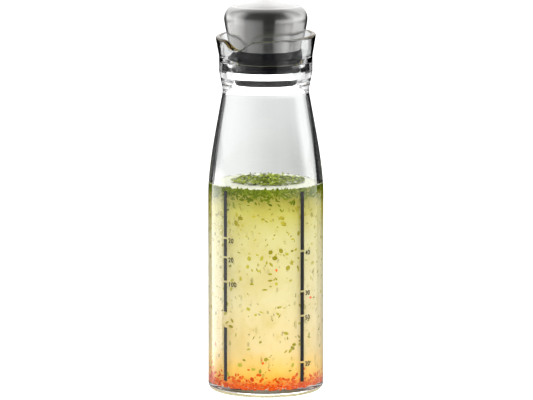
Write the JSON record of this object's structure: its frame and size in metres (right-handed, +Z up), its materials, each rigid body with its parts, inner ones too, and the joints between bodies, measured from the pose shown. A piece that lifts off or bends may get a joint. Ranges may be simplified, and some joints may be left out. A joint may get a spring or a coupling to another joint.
{
  "type": "salad dressing shaker bottle",
  "caption": "Clear glass dressing shaker bottle with a pouring lip, printed measuring bars and a lift-out stopper under a steel cap, filled with herb dressing.",
  "frame": {"origin": "middle of the foot, on the surface that the bottle stands on", "axes": "+Z up along the bottle's axis, -Y towards the pouring lip"},
  "size_m": [0.055, 0.055, 0.1868],
  "materials": {
    "glass": "clear, polished",
    "enamel": "fired black print",
    "dressing": "cloudy pale yellow liquid",
    "herbs": "wet chopped herbs",
    "chilli": "wet chilli flakes",
    "steel": "satin",
    "core": "moulded",
    "silicone": "smooth silicone"
  },
  "bodies": {
    "vessel": {"bottle": "glass", "scale_bar_1": "enamel", "scale_bar_2": "enamel", "scale_bar_3": "enamel", "scale_bar_4": "enamel", "dressing": "dressing", "herb_layer": "herbs", "chilli_sediment": "chilli"},
    "stopper": {"cap_shell": "steel", "cap_core": "core", "stopper_seal": "silicone"}
  },
  "joints": [
    {"name": "stopper_lift", "type": "slide", "parent": "vessel", "child": "stopper", "axis": [0, 0, 1], "range_m": [0, 0.045]}
  ]
}
